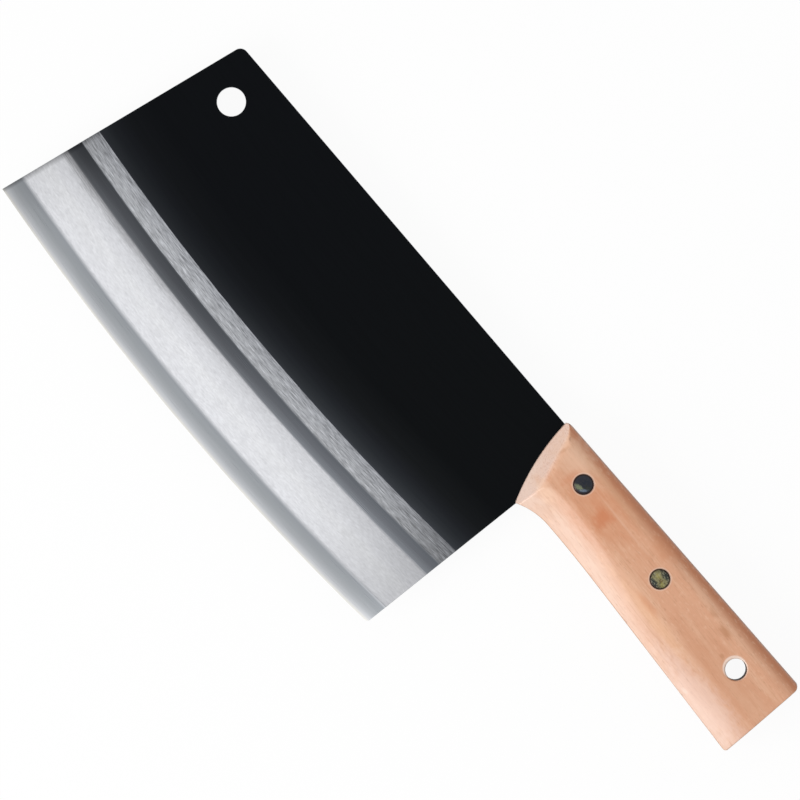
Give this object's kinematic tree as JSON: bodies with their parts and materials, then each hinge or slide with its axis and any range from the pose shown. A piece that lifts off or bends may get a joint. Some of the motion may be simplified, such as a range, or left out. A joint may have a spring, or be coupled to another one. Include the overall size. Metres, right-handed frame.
{
  "type": "chinese cleaver",
  "caption": "Tall slicing cleaver: a coated steel blade with a ground edge and a hanging hole, and a full tang between riveted wooden scales.",
  "frame": {"origin": "centre of the bounding box over blade and handle, on the underside of the right scale, where the knife lies flat", "axes": "+X along the knife from the toe of the blade to the butt of the handle, +Y from the cutting edge to the spine, +Z out of the left face"},
  "size_m": [0.31, 0.1022, 0.02],
  "materials": {
    "blade_steel": "black coating over the upper part, brushed and polished ground bands towards the edge",
    "handle_wood": "sanded fine-grained hardwood, warm pinkish brown, lightly oiled",
    "rivet_brass": "dark tarnished brass, ground flush"
  },
  "bodies": {
    "root": {"blade": "blade_steel", "left_scale": "handle_wood", "right_scale": "handle_wood", "front_rivet_male": "rivet_brass", "front_rivet_female": "rivet_brass", "middle_rivet_male": "rivet_brass", "middle_rivet_female": "rivet_brass"}
  },
  "joints": []
}
